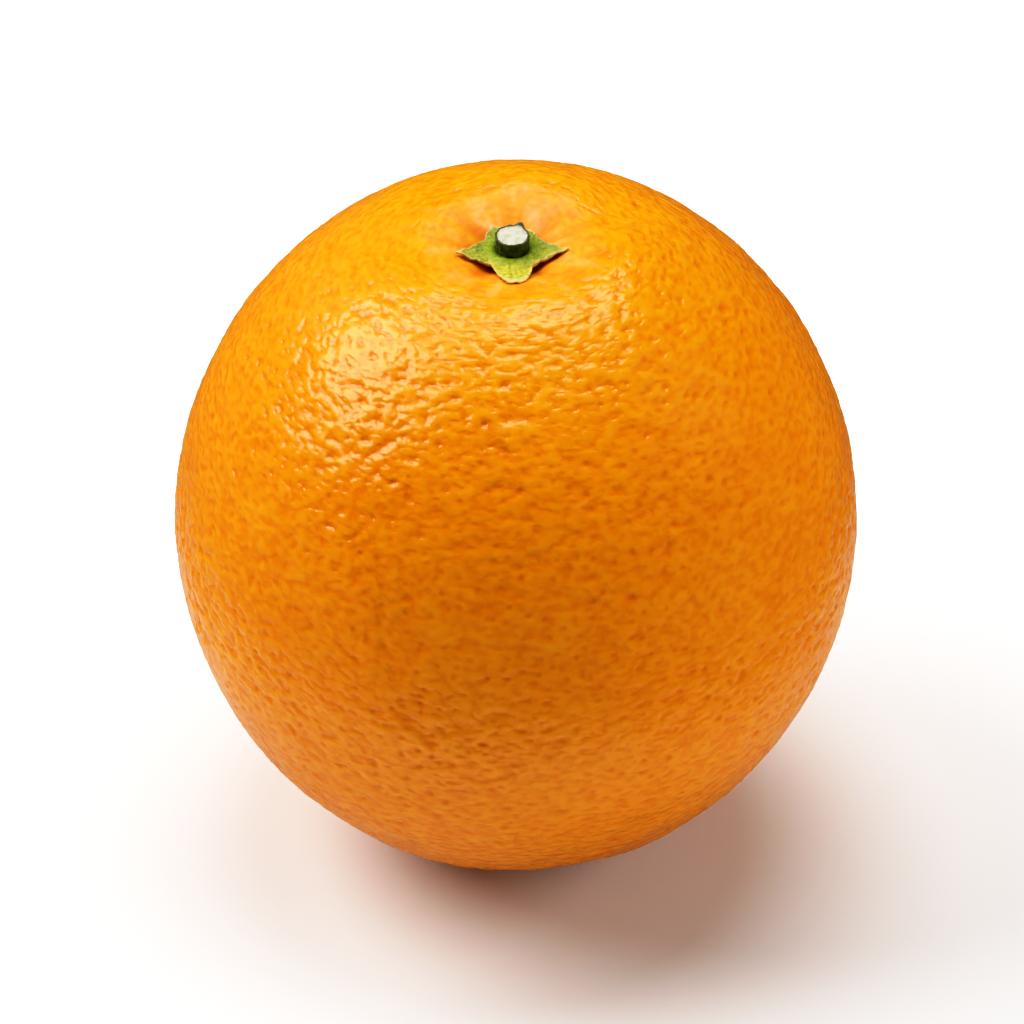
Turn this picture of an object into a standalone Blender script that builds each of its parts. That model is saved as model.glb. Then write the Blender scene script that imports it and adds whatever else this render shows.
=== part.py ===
"""A sweet orange: the whole fruit, its five-lobed calyx and the cut stub of its stalk.

Metres, +Z up along the core. The origin is the centre of the small flat spot that the fruit rests on.
The fruit and the stub are turned shapes. The calyx is a lobed sheet laid into the dimple at the stem end.
"""

import math

import bmesh
import bpy

# Fruit
FRUIT_WIDTH = 0.078            # across the widest ring
FRUIT_HEIGHT = 0.0829          # from the flat spot to the crown, before the dimple draws the crown down
FLAT_SPOT_DIAMETER = 0.014     # the flat that the fruit rests on
DIMPLE_DEPTH = 0.0053          # how far the crown is drawn down on the core's line
DIMPLE_REACH = 0.009           # distance from the core at which the dimple has faded to 1/e of its depth
SOCKET_DEPTH = 0.0016          # the hole in the dimple that the stub is rooted in

# Stem stub
STUB_DIAMETER = 0.0042
STUB_RISE = 0.0026             # from the calyx's underside at the stub up to the cut face
STUB_EDGE = 0.0003             # the small bevel round the cut face

# Calyx
CALYX_DIAMETER = 0.0134        # the circle that the tips of the lobes reach
CALYX_NOTCH_DIAMETER = 0.0080  # the circle that the notches between the lobes reach
CALYX_THICKNESS = 0.0009
LOBE_COUNT = 5
LOBE_TAPER = 0.8               # below 1, the lobes are fuller along their sides

# Fit
CLEARANCE = 0.0003             # between pieces that touch

# Mesh fineness
TURN_STEPS = 64
UPPER_RINGS = 26
LOWER_RINGS = 16
RING_CROWDING = 1.4            # above 1, the upper rings lie closer together in the dimple
STUB_STEPS = 32
CALYX_SPOKES = 60
CALYX_RINGS = 5
MERGE_DISTANCE = 0.00001

# Worked out from the sizes above
FRUIT_RADIUS = FRUIT_WIDTH / 2
FLAT_SPOT_RADIUS = FLAT_SPOT_DIAMETER / 2
FLAT_SPOT_LEVEL = math.sqrt(1 - (FLAT_SPOT_RADIUS / FRUIT_RADIUS) ** 2)  # as a share of half the height
HALF_HEIGHT = FRUIT_HEIGHT / (1 + FLAT_SPOT_LEVEL)
EQUATOR_HEIGHT = HALF_HEIGHT * FLAT_SPOT_LEVEL
STUB_RADIUS = STUB_DIAMETER / 2
SOCKET_RADIUS = STUB_RADIUS + CLEARANCE


def crown_height(radius):
    """Height of the fruit's upper surface at a distance from the core's line."""
    dome = HALF_HEIGHT * math.sqrt(1 - (radius / FRUIT_RADIUS) ** 2)
    dimple = DIMPLE_DEPTH * math.exp(-((radius / DIMPLE_REACH) ** 2))
    return EQUATOR_HEIGHT + dome - dimple


def crown_slope(radius):
    """Steepness of the upper surface there, as rise over run."""
    step = FRUIT_RADIUS / 1000
    return (crown_height(radius + step) - crown_height(radius - step)) / (2 * step)


SOCKET_FLOOR = crown_height(SOCKET_RADIUS) - SOCKET_DEPTH
CALYX_SEAT = crown_height(SOCKET_RADIUS) + CLEARANCE

# The calyx tilts up with the dimple, so the top edge of its hole leans in. The hole is wider by as much.
SEAT_SLOPE = crown_slope(SOCKET_RADIUS + CLEARANCE)
CALYX_HOLE_RADIUS = SOCKET_RADIUS + CALYX_THICKNESS * SEAT_SLOPE / math.hypot(1, SEAT_SLOPE)


def lobe_radius(angle):
    """Distance from the core to the calyx's edge in one direction. One lobe points along -Y."""
    towards_tip = 1 - abs(math.sin(LOBE_COUNT * (angle + math.pi / 2) / 2))
    notch = CALYX_NOTCH_DIAMETER / 2
    tip = CALYX_DIAMETER / 2
    return notch + (tip - notch) * towards_tip ** LOBE_TAPER


def clear_scene():
    for existing in list(bpy.data.objects):
        bpy.data.objects.remove(existing, do_unlink=True)


def make_material(name, colour, roughness):
    material = bpy.data.materials.new(name)
    material.use_nodes = True
    shader = material.node_tree.nodes["Principled BSDF"]
    shader.inputs["Base Color"].default_value = (*colour, 1.0)
    shader.inputs["Roughness"].default_value = roughness
    shader.inputs["Metallic"].default_value = 0.0
    material.diffuse_color = (*colour, 1.0)
    return material


def add_object(name, mesh, material, collection, parent, height=0.0):
    """Put a mesh into the collection as a named piece, its own origin at a height on the core's line."""
    mesh.materials.append(material)
    piece = bpy.data.objects.new(name, mesh)
    piece.location = (0.0, 0.0, height)
    piece.parent = parent
    collection.objects.link(piece)
    return piece


def turned_mesh(name, profile):
    """A profile of (radius, height) points at +X, joined by edges from its first point to its last."""
    points = [(radius, 0.0, height) for radius, height in profile]
    edges = [(index, index + 1) for index in range(len(points) - 1)]
    mesh = bpy.data.meshes.new(name)
    mesh.from_pydata(points, edges, [])
    return mesh


def turn(piece, steps):
    """Turn a profile once round the core's line."""
    screw = piece.modifiers.new("turn", "SCREW")
    screw.axis = "Z"
    screw.angle = 2 * math.pi
    screw.steps = steps
    screw.render_steps = steps
    screw.use_merge_vertices = True
    screw.merge_threshold = MERGE_DISTANCE
    screw.use_smooth_shade = True


def fruit_profile():
    """Socket floor, socket wall, over the shoulder to the widest ring, and under to the flat spot."""
    profile = [(0.0, SOCKET_FLOOR), (SOCKET_RADIUS, SOCKET_FLOOR)]
    quarter = math.pi / 2
    first = math.asin(SOCKET_RADIUS / FRUIT_RADIUS)
    for ring in range(UPPER_RINGS):
        angle = first + (quarter - first) * (ring / UPPER_RINGS) ** RING_CROWDING
        radius = FRUIT_RADIUS * math.sin(angle)
        profile.append((radius, crown_height(radius)))
    last = quarter + math.acos(FLAT_SPOT_RADIUS / FRUIT_RADIUS)
    for ring in range(LOWER_RINGS):
        angle = quarter + (last - quarter) * ring / LOWER_RINGS
        profile.append((FRUIT_RADIUS * math.sin(angle), EQUATOR_HEIGHT + HALF_HEIGHT * math.cos(angle)))
    profile.append((FLAT_SPOT_RADIUS, 0.0))
    profile.append((0.0, 0.0))
    return profile


def build_fruit(collection, parent):
    peel = make_material("orange_peel", (0.80, 0.25, 0.012), 0.38)
    mesh = turned_mesh("fruit", fruit_profile())
    fruit = add_object("fruit", mesh, peel, collection, parent)
    turn(fruit, TURN_STEPS)
    return fruit


def stub_profile():
    """Cut face, its bevelled edge, the wall, and the foot in the socket. Heights are above the foot."""
    foot = SOCKET_FLOOR + CLEARANCE
    top = CALYX_SEAT + STUB_RISE - foot
    return [
        (0.0, top),
        (STUB_RADIUS - STUB_EDGE, top),
        (STUB_RADIUS, top - STUB_EDGE),
        (STUB_RADIUS, 0.0),
        (0.0, 0.0),
    ]


def build_stem_stub(collection, parent):
    bark = make_material("stem_bark", (0.07, 0.10, 0.02), 0.75)
    mesh = turned_mesh("stem_stub", stub_profile())
    stub = add_object("stem_stub", mesh, bark, collection, parent, SOCKET_FLOOR + CLEARANCE)
    turn(stub, STUB_STEPS)
    return stub


def calyx_mesh():
    """The calyx's underside: a spoke spun round the core, drawn out into lobes and laid over the dimple.

    The spoke is spun one unit long. Each point's distance from the core then becomes its share of the way
    from the stub's hole to the edge. Heights are above the calyx's seat.
    """
    shaping = bmesh.new()
    spoke = [shaping.verts.new((1 + ring / CALYX_RINGS, 0.0, 0.0)) for ring in range(CALYX_RINGS + 1)]
    edges = [shaping.edges.new(pair) for pair in zip(spoke, spoke[1:])]
    bmesh.ops.spin(
        shaping, geom=spoke + edges, cent=(0, 0, 0), axis=(0, 0, 1),
        angle=2 * math.pi, steps=CALYX_SPOKES, use_merge=True,
    )
    for vert in shaping.verts:
        angle = math.atan2(vert.co.y, vert.co.x)
        share = vert.co.xy.length - 1
        radius = CALYX_HOLE_RADIUS + (lobe_radius(angle) - CALYX_HOLE_RADIUS) * share
        lift = CLEARANCE * math.hypot(1, crown_slope(radius))
        height = crown_height(radius) + lift - CALYX_SEAT
        vert.co = (radius * math.cos(angle), radius * math.sin(angle), height)
    bmesh.ops.recalc_face_normals(shaping, faces=shaping.faces)
    if sum(face.normal.z for face in shaping.faces) < 0:
        bmesh.ops.reverse_faces(shaping, faces=shaping.faces)
    mesh = bpy.data.meshes.new("calyx")
    shaping.to_mesh(mesh)
    shaping.free()
    mesh.shade_smooth()
    return mesh


def build_calyx(collection, parent):
    sepal = make_material("calyx_sepal", (0.30, 0.37, 0.06), 0.6)
    calyx = add_object("calyx", calyx_mesh(), sepal, collection, parent, CALYX_SEAT)
    thicken = calyx.modifiers.new("thickness", "SOLIDIFY")
    thicken.thickness = CALYX_THICKNESS
    thicken.offset = 1.0
    thicken.use_even_offset = True
    return calyx


def build_orange():
    clear_scene()
    collection = bpy.data.collections.new("orange")
    bpy.context.scene.collection.children.link(collection)
    core = bpy.data.objects.new("orange_core", None)
    collection.objects.link(core)
    build_fruit(collection, core)
    build_calyx(collection, core)
    build_stem_stub(collection, core)


build_orange()
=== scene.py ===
# %% [markdown]
# # An orange, from its frame to its finish
#
# A measured model gives the place and size of three pieces: the fruit, the calyx and the stub of the stem.
# This lesson makes the surface that is seen over each of them: peel with its oil glands, a green calyx and
# a cut stem. Lengths are in metres, as in the measured model, and +Z is up along the fruit's core.

# %% Load the measured model
import math

import bmesh
import bpy
import numpy as np
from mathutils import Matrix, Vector, geometry, kdtree, noise


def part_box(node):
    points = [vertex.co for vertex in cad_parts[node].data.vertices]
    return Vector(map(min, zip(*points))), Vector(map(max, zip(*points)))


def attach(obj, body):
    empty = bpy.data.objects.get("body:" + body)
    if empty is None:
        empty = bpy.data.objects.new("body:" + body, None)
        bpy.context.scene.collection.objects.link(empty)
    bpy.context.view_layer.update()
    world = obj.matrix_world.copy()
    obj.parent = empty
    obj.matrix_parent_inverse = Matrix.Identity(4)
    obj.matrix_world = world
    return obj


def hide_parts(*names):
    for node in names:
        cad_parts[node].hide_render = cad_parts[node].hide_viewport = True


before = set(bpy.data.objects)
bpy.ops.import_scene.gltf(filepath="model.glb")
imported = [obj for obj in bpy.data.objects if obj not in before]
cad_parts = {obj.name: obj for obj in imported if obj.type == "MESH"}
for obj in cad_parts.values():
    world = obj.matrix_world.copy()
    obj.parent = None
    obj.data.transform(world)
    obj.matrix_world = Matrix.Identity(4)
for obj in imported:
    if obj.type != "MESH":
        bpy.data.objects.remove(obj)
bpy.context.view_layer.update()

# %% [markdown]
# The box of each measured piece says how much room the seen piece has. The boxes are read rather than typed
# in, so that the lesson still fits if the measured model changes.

MM = 0.001
FULL_TURN = 2 * math.pi
fruit_low, fruit_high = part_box("fruit")
calyx_low, calyx_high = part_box("calyx")
stub_low, stub_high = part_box("stem_stub")
stub_radius = (stub_high.x - stub_low.x) / 2
print("fruit", [round(side / MM, 1) for side in fruit_high - fruit_low], "mm")
print("calyx", round((calyx_high.x - calyx_low.x) / MM, 1), "mm across")
print("stub of the stem", round(2 * stub_radius / MM, 1), "mm across")

# %% [markdown]
# ## The outline of the fruit
#
# The measured fruit is turned on a lathe: every ring of it has one radius and one height. Reading those
# rings gives the outline without copying any number. Seen from the middle of the fruit, the outline is a
# distance that changes with the angle from the stem. The socket that the stub stands in isn't part of the
# skin, so the rings inside it are left out.

# %% Read the outline
SOCKET_MARGIN = 0.4 * MM
UNDERSIDE = 1.0 * MM
ANGLE_DIGITS = 5
corners = np.array([corner.co[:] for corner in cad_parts["fruit"].data.vertices])
corner_radius = np.hypot(corners[:, 0], corners[:, 1])
middle = np.array([0.0, 0.0, corners[corner_radius.argmax(), 2]])
socket_edge = stub_radius + SOCKET_MARGIN

skin = corners[(corner_radius > socket_edge) | (corners[:, 2] < UNDERSIDE)] - middle
skin_angle = np.arctan2(np.hypot(skin[:, 0], skin[:, 1]), skin[:, 2])
ring_angle, first_of_ring = np.unique(np.round(skin_angle, ANGLE_DIGITS), return_index=True)
ring_distance = np.linalg.norm(skin, axis=1)[first_of_ring]
mean_radius = (fruit_high.z + 2 * fruit_high.x) / 4
print("rings read:", len(ring_angle), " widest at", round(middle[2] / MM, 1), "mm")

# %% [markdown]
# The rings have small corners between them. A table of the distance, averaged a little with its neighbours,
# rounds those off, and it is all that the peel needs to know about its overall shape. The table is
# continued past both of its ends as in a mirror, so that the averaging bends nothing at the stem or at the
# foot.

# %% Smooth the outline
STEPS = 720
REACH = 15
SOFTENING = 5
LEAST_COSINE = 0.01
table_angle = np.linspace(0, math.pi, STEPS + 1)
table_distance = np.interp(table_angle, ring_angle, ring_distance)
to_ground = middle[2] / np.maximum(-np.cos(table_angle), LEAST_COSINE)
table_distance = np.minimum(table_distance, to_ground)
kernel = np.exp(-0.5 * (np.arange(-REACH, REACH + 1) / SOFTENING) ** 2)
kernel /= kernel.sum()
mirrored = np.concatenate([table_distance[REACH:0:-1], table_distance, table_distance[-2:-2 - REACH:-1]])
table_distance = np.convolve(mirrored, kernel, mode="valid")


def on_outline(ways):
    """Points on the smooth body of the fruit in these directions from its middle."""
    angle = np.arccos(np.clip(ways[:, 2], -1, 1))
    return middle + ways * np.interp(angle, table_angle, table_distance)[:, None]


print("outline from", round(table_distance.min() / MM, 1), "to", round(table_distance.max() / MM, 1), "mm")

# %% [markdown]
# ## Smooth random values
#
# Nothing on a fruit repeats, so nearly every step below needs a value that wanders smoothly from place to
# place. Blender's Perlin noise gives one. Each use has its own seed, which only moves it to another part of
# the noise.

# %% Noise and fades
SEED_STEP = 17.3
NOT_ZERO = 1e-9


def swell(places, size, seed):
    """A smooth random value at each place, mostly from -0.5 to 0.5, with swells about twice `size` across."""
    return np.array([noise.noise(place) for place in (places / size + seed * SEED_STEP).tolist()])


def fade(value, start, end):
    """0 up to start, 1 from end on, and a smooth step between them."""
    share = np.clip((value - start) / (end - start), 0, 1)
    return share * share * (3 - 2 * share)


def unit(ways):
    """The same directions, each one long."""
    return ways / np.linalg.norm(ways, axis=1, keepdims=True)


print("a fade at a quarter, half and three quarters:", fade(np.array([0.25, 0.5, 0.75]), 0, 1).round(2))

# %% [markdown]
# ## The wrinkles
#
# Peel is leathery: between its glands the skin stands up in short winding folds. The crest of a fold is
# sharper than the hollow beside it, which plain noise doesn't give. Taking one minus the size of the noise
# does: the line where the noise passes through zero becomes the crest. A second noise bends the map first,
# so the crests wander.
#
# Wrinkles on a peel lie round the fruit rather than down it. On the stretched map of the skin, the way down
# from the stem is drawn out, and noise that is read from that map comes out longer round the fruit than
# down it.

# %% Wrinkle height
STRETCH = 1.5
BEND = 0.8 * MM
BEND_SIZE = 2.6 * MM
BEND_SEEDS = (31, 32, 33)
WHOLE_FALL = 0.36
FOLD_LAYERS = (
    # size, seed, roundness of the crests, share of the whole
    (2.9 * MM, 5, 0.06, 0.45),
    (1.3 * MM, 3, 0.05, 0.35),
    (0.75 * MM, 4, 0.08, 0.20),
)


def skin_map(ways):
    """The stretched map: places for noise that make it lie round the fruit."""
    down = -STRETCH * np.arccos(np.clip(ways[:, 2], -1, 1))
    return mean_radius * np.column_stack([ways[:, 0], ways[:, 1], down])


def folds(places, size, seed, rounding):
    """Thin winding crests with broad hollows between them: 1 on a crest, about -0.5 in the deepest hollow."""
    return 1 - np.sqrt(swell(places, size, seed) ** 2 + rounding ** 2) / WHOLE_FALL


def wrinkles(ways):
    """How far up its fold each direction is, from about -0.5 to 1."""
    places = skin_map(ways)
    bend = np.column_stack([swell(places, BEND_SIZE, seed) for seed in BEND_SEEDS])
    places = places + BEND * bend
    return sum(share * folds(places, size, seed, rounding) for size, seed, rounding, share in FOLD_LAYERS)


print("folds of", [round(layer[0] / MM, 2) for layer in FOLD_LAYERS], "mm")

# %% [markdown]
# ## Where the oil glands are
#
# A peel is full of oil glands, and each one shows as a small pit. They are about as far apart as each
# other, but in no pattern. Random points would clump, so every point is pushed away from its nearest
# neighbours a few times, which is how soap bubbles even out too.

# %% Scatter the glands
GLANDS = 7200
ROUNDS = 7
PUSH = 0.12
NEIGHBOURS = 6
GLAND_SEED = 7
rng = np.random.default_rng(GLAND_SEED)


def tree_of(ways):
    """A search tree that finds the nearest of these directions."""
    tree = kdtree.KDTree(len(ways))
    for index, way in enumerate(ways.tolist()):
        tree.insert(way, index)
    tree.balance()
    return tree


def spread_out(ways, rounds, push):
    """Moves directions away from their nearest neighbours, a little each round."""
    for _ in range(rounds):
        tree = tree_of(ways)
        near = [[found[1] for found in tree.find_n(way, NEIGHBOURS + 1)][1:] for way in ways.tolist()]
        away = ways[:, None, :] - ways[np.array(near)]
        gap = np.linalg.norm(away, axis=2, keepdims=True) + NOT_ZERO
        ways = unit(ways + push * (away / gap ** 2).sum(axis=1) * 4 * math.pi / len(ways))
    return ways


glands = spread_out(unit(rng.normal(size=(GLANDS, 3))), ROUNDS, PUSH)
apart = mean_radius * math.sqrt(4 * math.pi / GLANDS)
print("glands:", len(glands), " about", round(apart / MM, 2), "mm apart")

# %% [markdown]
# Then each gland slides a little way down its fold, because the folds run between the glands and not over
# them. The slope is felt by reading the wrinkles a little way off on either side.

# %% Slide the glands into the hollows
FEEL = 0.3 * MM / mean_radius
SLIDE = 0.30 * MM / mean_radius
SLIDES = 2
GENTLE_SLOPE = 0.2
UP_A_FOLD = 0.4


def tangents(ways):
    """Two directions along the skin: one round the fruit and one up towards the stem."""
    across = unit(np.cross(np.array([0.0, 0.0, 1.0]), ways) + NOT_ZERO)
    return across, np.cross(ways, across)


for _ in range(SLIDES):
    across, upward = tangents(glands)
    slope_across = wrinkles(unit(glands + across * FEEL)) - wrinkles(unit(glands - across * FEEL))
    slope_upward = wrinkles(unit(glands + upward * FEEL)) - wrinkles(unit(glands - upward * FEEL))
    downhill = -(across * slope_across[:, None] + upward * slope_upward[:, None])
    steepness = np.linalg.norm(downhill, axis=1, keepdims=True)
    glands = unit(glands + SLIDE * downhill / (steepness + GENTLE_SLOPE))
print("share of glands in a hollow:", round(float((wrinkles(glands) < UP_A_FOLD).mean()), 2))

# %% [markdown]
# ## A mesh that fits the glands
#
# A plain sphere would need millions of faces before every pit had a floor and a rim. Here each gland brings
# its own points instead: one at the floor, a ring on the slope and a ring on the rim.

# %% Give each gland its points
GLAND_SIZES = (0.78, 1.22)
GLAND_RINGS = (
    # points, radius, turn of the ring
    (5, 0.28 * MM, 0.0),
    (7, 0.60 * MM, 0.4),
)
gland_size = rng.uniform(*GLAND_SIZES, GLANDS)
gland_turn = rng.uniform(0, FULL_TURN, GLANDS)
gland_across, gland_up = tangents(glands)


def gland_ring(count, radius, phase):
    """Directions to a ring of points round every gland."""
    ring = []
    for step in range(count):
        angle = gland_turn + phase + FULL_TURN * step / count
        reach = radius * gland_size / mean_radius
        sideways = gland_across * np.cos(angle)[:, None] + gland_up * np.sin(angle)[:, None]
        ring.append(unit(glands + sideways * reach[:, None]))
    return np.concatenate(ring)


gland_points = np.concatenate([glands] + [gland_ring(*ring) for ring in GLAND_RINGS])
print("points round the glands:", len(gland_points))

# %% [markdown]
# At both ends of the core, where there is finer detail, a sunflower spiral of closer points takes the
# glands' place. At the blossom end the spiral stops short of the core, and one even ring closes it.

# %% Lay the closer points at the two ends
GOLDEN_ANGLE = math.pi * (3 - math.sqrt(5))
STEM_END = 10.5 * MM
BLOSSOM_END = 5.0 * MM
CLOSE_SPACING = 0.32 * MM
CLOSING_RING = 24
CLOSING_RADIUS = 0.3 * MM
CLEAR_OF_RING = 0.5 * MM


def sunflower(reach, spacing, sign):
    """Evenly spaced directions within a distance of the core, at the stem (+1) or the blossom end (-1)."""
    count = int(math.pi * (reach / spacing) ** 2)
    step = np.arange(1, count)
    distance = reach * np.sqrt(step / count)
    angle = step * GOLDEN_ANGLE
    return unit(np.column_stack([distance * np.cos(angle), distance * np.sin(angle),
                                 np.full(count - 1, sign * mean_radius)]))


closing_turn = FULL_TURN * np.arange(CLOSING_RING) / CLOSING_RING
closing_ring = unit(np.column_stack([CLOSING_RADIUS * np.cos(closing_turn),
                                     CLOSING_RADIUS * np.sin(closing_turn),
                                     np.full(CLOSING_RING, -mean_radius)]))
offset = np.hypot(gland_points[:, 0], gland_points[:, 1]) * mean_radius
upper = gland_points[:, 2] > 0
body_points = gland_points[(offset > np.where(upper, STEM_END, BLOSSOM_END))]
blossom_points = sunflower(BLOSSOM_END, CLOSE_SPACING, -1)
blossom_offset = np.hypot(blossom_points[:, 0], blossom_points[:, 1]) * mean_radius
blossom_points = blossom_points[blossom_offset > CLEAR_OF_RING]
ways = np.concatenate([body_points, sunflower(STEM_END, CLOSE_SPACING, 1), blossom_points, closing_ring])
print("points in all:", len(ways))

# %% [markdown]
# Delaunay triangulation joins the points. It works on flat maps, and a stereographic map of a ball keeps
# circles as circles, so the triangles that are right on the map are right on the ball too.

# %% Join the points
MERGE_WITHIN = 1e-9
map_scale = 1 / (1 + ways[:, 2])
flat_map = [Vector(point) for point in (ways[:, :2] * map_scale[:, None]).tolist()]
joined = geometry.delaunay_2d_cdt(flat_map, [], [], 0, MERGE_WITHIN)
triangles = np.array(joined[2])
ways = ways[np.array([source[0] for source in joined[3]])]
print("points:", len(ways), " triangles:", len(triangles))

# %% [markdown]
# ## The relief of the peel
#
# Real peel is uneven at several scales at once, so several small heights are worked out and added up. The
# slowest are swells over the segments inside. A fruit also grows more on one side than on the other: the
# body bulges a little that way, and the shoulders round the stem are higher in some directions.

# %% Swells and shoulders
SLOW_SWELLS = (
    # height, size, seed
    (0.26 * MM, 17 * MM, 1),
    (0.12 * MM, 7 * MM, 2),
)
LEAN = 0.7 * MM
LEAN_WAY = np.array([0.80, -0.37, -0.47])
STEM_CALM = (5 * MM, 19 * MM)
SHOULDER_HEIGHT = 1.5 * MM
SHOULDER_RADIUS = 13 * MM
SHOULDER_WIDTH = 5.5 * MM
SHOULDER_CHANGES = 1.3
SHOULDER_SEED = 18

body = on_outline(ways)
from_core = np.hypot(body[:, 0], body[:, 1])
turn = np.arctan2(body[:, 1], body[:, 0])
stem_half = body[:, 2] > middle[2]
away_from_stem = np.where(stem_half, fade(from_core, *STEM_CALM), 1.0)

lumps = sum(height * swell(body, size, seed) for height, size, seed in SLOW_SWELLS)
lopsided = LEAN * ways @ LEAN_WAY
round_core = np.column_stack([SHOULDER_CHANGES * np.cos(turn), SHOULDER_CHANGES * np.sin(turn),
                              np.zeros(len(turn))])
shoulder = np.exp(-((from_core - SHOULDER_RADIUS) / SHOULDER_WIDTH) ** 2) * stem_half
shoulders = SHOULDER_HEIGHT * swell(round_core, 1, SHOULDER_SEED) * shoulder
print("swells", round(np.ptp(lumps) / MM, 2), "mm; shoulders", round(np.ptp(shoulders) / MM, 2), "mm")

# %% [markdown]
# The folds come next. Some patches of a peel are smoother than others, and near the stem the skin is
# stretched nearly flat, so the height of the folds has its own slow noise and fades towards the stem.

# %% Folds
FOLD_HEIGHT = 0.21 * MM
FOLDS_AT_STEM = 0.30
PATCH_MEAN = 0.85
PATCH_CHANGE = 0.8
PATCH_SIZE = 8 * MM
PATCH_SEED = 11
PATCH_RANGE = (0.45, 1.3)

fold = wrinkles(ways)
patches = np.clip(PATCH_MEAN + PATCH_CHANGE * swell(body, PATCH_SIZE, PATCH_SEED), *PATCH_RANGE)
fold_height = FOLD_HEIGHT * fold * patches * (FOLDS_AT_STEM + (1 - FOLDS_AT_STEM) * away_from_stem)
print("folds", round(np.ptp(fold_height) / MM, 2), "mm high")

# %% [markdown]
# Each gland sinks the skin twice: in a shallow bowl, longer than it is wide and a little aslant, and in a
# small pit at its middle. Most pits are shallow and a few are deep, which a lognormal draw gives. A point
# on the peel feels the three glands that are nearest to it.

# %% Bowls and pits
NEAR_GLANDS = 3
BOWL_RADIUS = 0.50 * MM
BOWL_LENGTHS = (0.95, 1.75)
BOWL_SLANT = 0.35
BOWL_DEPTHS = (0.02, 0.09)
PIT_RADIUS = 0.30 * MM
PIT_DEPTH = 0.035
PIT_DEPTH_SPREAD = 0.45
PIT_DEPTHS = (0.01, 0.09)
SIDE_SQUEEZE = 1.15
PITS_AT_STEM = 0.25
PITS_OPEN = (4 * MM, 19 * MM)

gland_tree = tree_of(glands)
owner = np.array([[found[1] for found in gland_tree.find_n(way, NEAR_GLANDS)] for way in ways.tolist()])
from_gland = (ways[:, None, :] - glands[owner]) * mean_radius
bowl_length = rng.uniform(*BOWL_LENGTHS, GLANDS)
bowl_slant = rng.normal(0.0, BOWL_SLANT, GLANDS)
along = gland_across * np.cos(bowl_slant)[:, None] + gland_up * np.sin(bowl_slant)[:, None]
beside = np.cross(glands, along)
gap_along = (from_gland * along[owner]).sum(axis=2) / bowl_length[owner]
gap_beside = (from_gland * beside[owner]).sum(axis=2) * SIDE_SQUEEZE
gap = np.hypot(gap_along, gap_beside) / gland_size[owner]
bowl_depth = rng.uniform(*BOWL_DEPTHS, GLANDS) * MM
pit_depth = np.clip(rng.lognormal(math.log(PIT_DEPTH), PIT_DEPTH_SPREAD, GLANDS), *PIT_DEPTHS) * MM
bowl = np.exp(-((gap / BOWL_RADIUS) ** 2))
pit = np.exp(-((gap / PIT_RADIUS) ** 2))
open_pit = np.where(stem_half, PITS_AT_STEM + (1 - PITS_AT_STEM) * fade(from_core, *PITS_OPEN), 1.0)
pits = -((bowl_depth[owner] * bowl + pit_depth[owner] * pit).sum(axis=1)) * open_pit
print("pits up to", round(-pits.min() / MM, 2), "mm deep")

# %% [markdown]
# Under the calyx the skin sinks, and furrows run out from there like the creases at the neck of a tied bag.
# There are only a few, none of them alike, so a short table says where each one points, how far it reaches,
# how wide it is and how deep.

# %% Furrows at the stem
FURROWS = (
    # direction in degrees, reach, width, depth
    (-127, 10.5 * MM, 1.5 * MM, 0.55 * MM),
    (-52, 9.5 * MM, 1.4 * MM, 0.50 * MM),
    (-158, 8.5 * MM, 1.3 * MM, 0.22 * MM),
    (-18, 9.0 * MM, 1.2 * MM, 0.20 * MM),
    (26, 9.0 * MM, 1.3 * MM, 0.30 * MM),
    (52, 12.0 * MM, 1.3 * MM, 0.34 * MM),
    (96, 9.0 * MM, 1.2 * MM, 0.28 * MM),
    (137, 12.5 * MM, 1.4 * MM, 0.38 * MM),
    (168, 9.5 * MM, 1.2 * MM, 0.24 * MM),
    (-92, 7.5 * MM, 1.5 * MM, 0.15 * MM),
)
WANDER = 0.10
WANDER_SIZE = 3.5 * MM
WANDER_SEED = 12
NARROW_START = 0.7
WIDENING = 0.5
FADES_FROM = 0.45
WELL_DEPTH = 0.5 * MM
WELL_RADIUS = 3.9 * MM


def turned_from(turn, degrees):
    """The angle of each point from a direction, from minus half a turn to half a turn."""
    return (turn - math.radians(degrees) + math.pi) % FULL_TURN - math.pi


wander = WANDER * swell(body, WANDER_SIZE, WANDER_SEED)
furrow = np.zeros(len(body))
furrow_depth = np.zeros(len(body))
for degrees, reach, width, depth in FURROWS:
    off = turned_from(turn + wander, degrees)
    beside = from_core * np.sin(np.clip(np.abs(off), 0, math.pi / 2))
    spread = width * (NARROW_START + WIDENING * from_core / reach)
    share = np.exp(-(beside / spread) ** 2) * (1 - fade(from_core, FADES_FROM * reach, reach)) * stem_half
    furrow = np.maximum(furrow, share)
    furrow_depth = np.maximum(furrow_depth, share * depth)
well = np.where(stem_half, WELL_DEPTH * np.exp(-((from_core / WELL_RADIUS) ** 2)), 0)
print("furrows:", len(FURROWS), " deepest", round(furrow_depth.max() / MM, 2), "mm")

# %% [markdown]
# At the other end is the small round scar that the flower left: a crackled button in a shallow dish. All
# the heights are then added up and the points moved out by the sum. Where that would push a point through
# the ground, the fruit rests on it instead.

# %% Scar at the blossom end, and the sum of the heights
DISH_RADIUS = 2.6 * MM
DISH_DEPTH = 0.55 * MM
SCAR_EDGE = (0.6 * DISH_RADIUS, 1.15 * DISH_RADIUS)
BUTTON_RADIUS = 1.25 * MM
BUTTON_HEIGHT = 0.34 * MM
BUTTON_EDGE = (0.75 * BUTTON_RADIUS, BUTTON_RADIUS)
CRACKLE_HEIGHT = 0.09 * MM
CRACKLE_SIZE = 0.45 * MM
CRACKLE_SEED = 14
CRACKLE_ROUNDING = 0.08
FOOT = 0.03 * MM

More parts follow.
